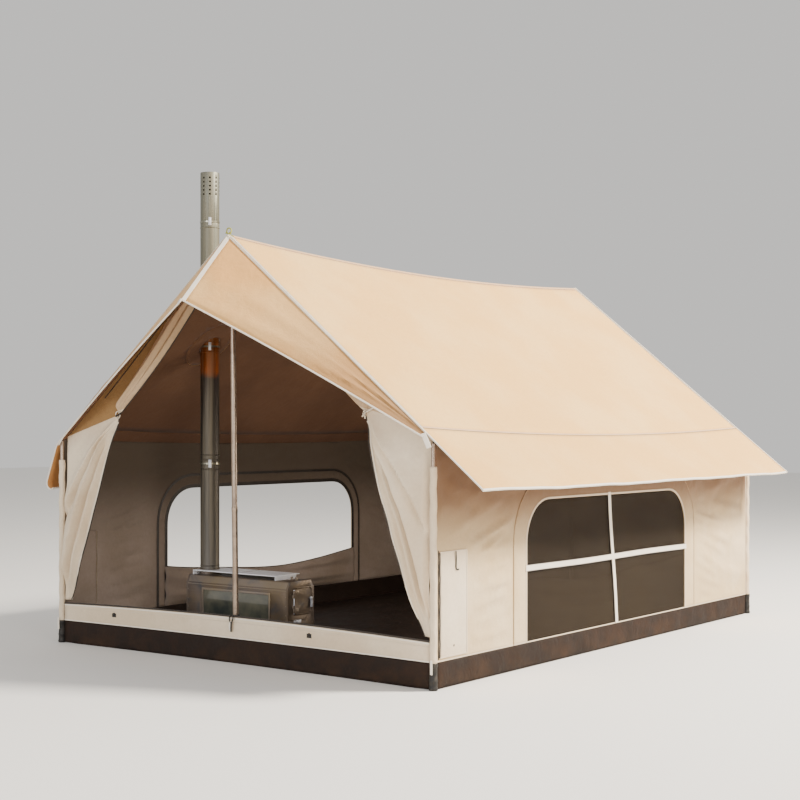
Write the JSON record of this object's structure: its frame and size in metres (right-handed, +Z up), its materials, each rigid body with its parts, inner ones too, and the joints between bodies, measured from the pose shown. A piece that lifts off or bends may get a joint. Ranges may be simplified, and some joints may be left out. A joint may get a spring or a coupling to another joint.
{
  "type": "hot tent",
  "caption": "Canvas ridge tent with a tub floor, tied-back doors, side windows and a wood stove whose flue leaves through the roof.",
  "frame": {"origin": "centre of the footprint, on the ground", "axes": "+Z up, -Y out of the door, +X to the right of someone who looks in through the door"},
  "size_m": [2.7767, 3.6328, 2.47],
  "materials": {
    "roof_canvas": "matte woven",
    "wall_canvas": "matte woven",
    "tub_fabric": "coated woven",
    "mesh_fabric": "open mesh",
    "bronze_pole": "satin",
    "black_rubber": "matte",
    "stove_steel": "satin",
    "bright_steel": "bright",
    "flue_steel": "satin",
    "stove_glass": "clear",
    "jack_cloth": "coated",
    "loop_webbing": "webbing",
    "black_webbing": "webbing"
  },
  "bodies": {
    "tent": {"apex_loop": "loop_webbing", "beak_left": "roof_canvas", "beak_right": "roof_canvas", "clip_lower": "bright_steel", "clip_middle": "bright_steel", "clip_upper": "bright_steel", "cook_plate": "bright_steel", "corner_boot_front_left": "black_rubber", "corner_boot_front_right": "black_rubber", "corner_boot_rear_left": "black_rubber", "corner_boot_rear_right": "black_rubber", "corner_pole_front_left": "bronze_pole", "corner_pole_front_right": "bronze_pole", "corner_pole_rear_left": "bronze_pole", "corner_pole_rear_right": "bronze_pole", "door_leaf_left": "wall_canvas", "door_leaf_right": "wall_canvas", "door_tie_left": "black_webbing", "door_tie_right": "black_webbing", "fire_grate": "stove_steel", "flue_cap": "flue_steel", "flue_collar": "stove_steel", "flue_jack": "jack_cloth", "flue_lower": "flue_steel", "flue_middle": "flue_steel", "flue_upper": "flue_steel", "front_pole": "bronze_pole", "front_sill": "wall_canvas", "groundsheet": "tub_fabric", "pole_foot_front": "black_rubber", "pole_foot_rear": "black_rubber", "pole_hook": "black_webbing", "rear_pole": "bronze_pole", "roof_left": "roof_canvas", "roof_right": "roof_canvas", "stove_body": "stove_steel", "stove_glass": "stove_glass", "stove_glass_frame": "stove_steel", "stove_hinge_pin": "bright_steel", "stove_leg_left": "stove_steel", "stove_leg_right": "stove_steel", "tub_wall_front": "tub_fabric", "tub_wall_left": "tub_fabric", "tub_wall_rear": "tub_fabric", "tub_wall_right": "tub_fabric", "wall_left_front": "wall_canvas", "wall_left_rear": "wall_canvas", "wall_rear": "wall_canvas", "wall_right": "wall_canvas", "window_bars_right": "wall_canvas", "window_cover_left": "wall_canvas", "window_cover_right": "wall_canvas", "window_mesh_right": "mesh_fabric", "wing_left": "roof_canvas", "wing_right": "roof_canvas"},
    "stove_door": {"stove_door": "stove_steel"},
    "stove_latch": {"stove_latch": "bright_steel"},
    "air_slide": {"air_slide": "bright_steel"},
    "port_flap_right": {"port_flap_right": "wall_canvas"},
    "port_flap_left": {"port_flap_left": "wall_canvas"}
  },
  "joints": [
    {"name": "stove_door_hinge", "type": "hinge", "parent": "tent", "child": "stove_door", "pos_m": [0.069, -1.2525, 0.262], "axis": [0, 0, -1], "range_deg": [0, 110]},
    {"name": "stove_latch_turn", "type": "hinge", "parent": "stove_door", "child": "stove_latch", "pos_m": [0.0726, -1.12, 0.272], "axis": [-1, 0, 0], "range_deg": [0, 90]},
    {"name": "air_slide_travel", "type": "slide", "parent": "tent", "child": "air_slide", "axis": [0, 1, 0], "range_m": [0, 0.025]},
    {"name": "port_flap_right_hinge", "type": "hinge", "parent": "tent", "child": "port_flap_right", "pos_m": [1.2018, -1.394, 0.361], "axis": [0, 0, 1], "range_deg": [0, 120]},
    {"name": "port_flap_left_hinge", "type": "hinge", "parent": "tent", "child": "port_flap_left", "pos_m": [-1.2018, -1.394, 0.361], "axis": [0, 0, -1], "range_deg": [0, 120]}
  ]
}
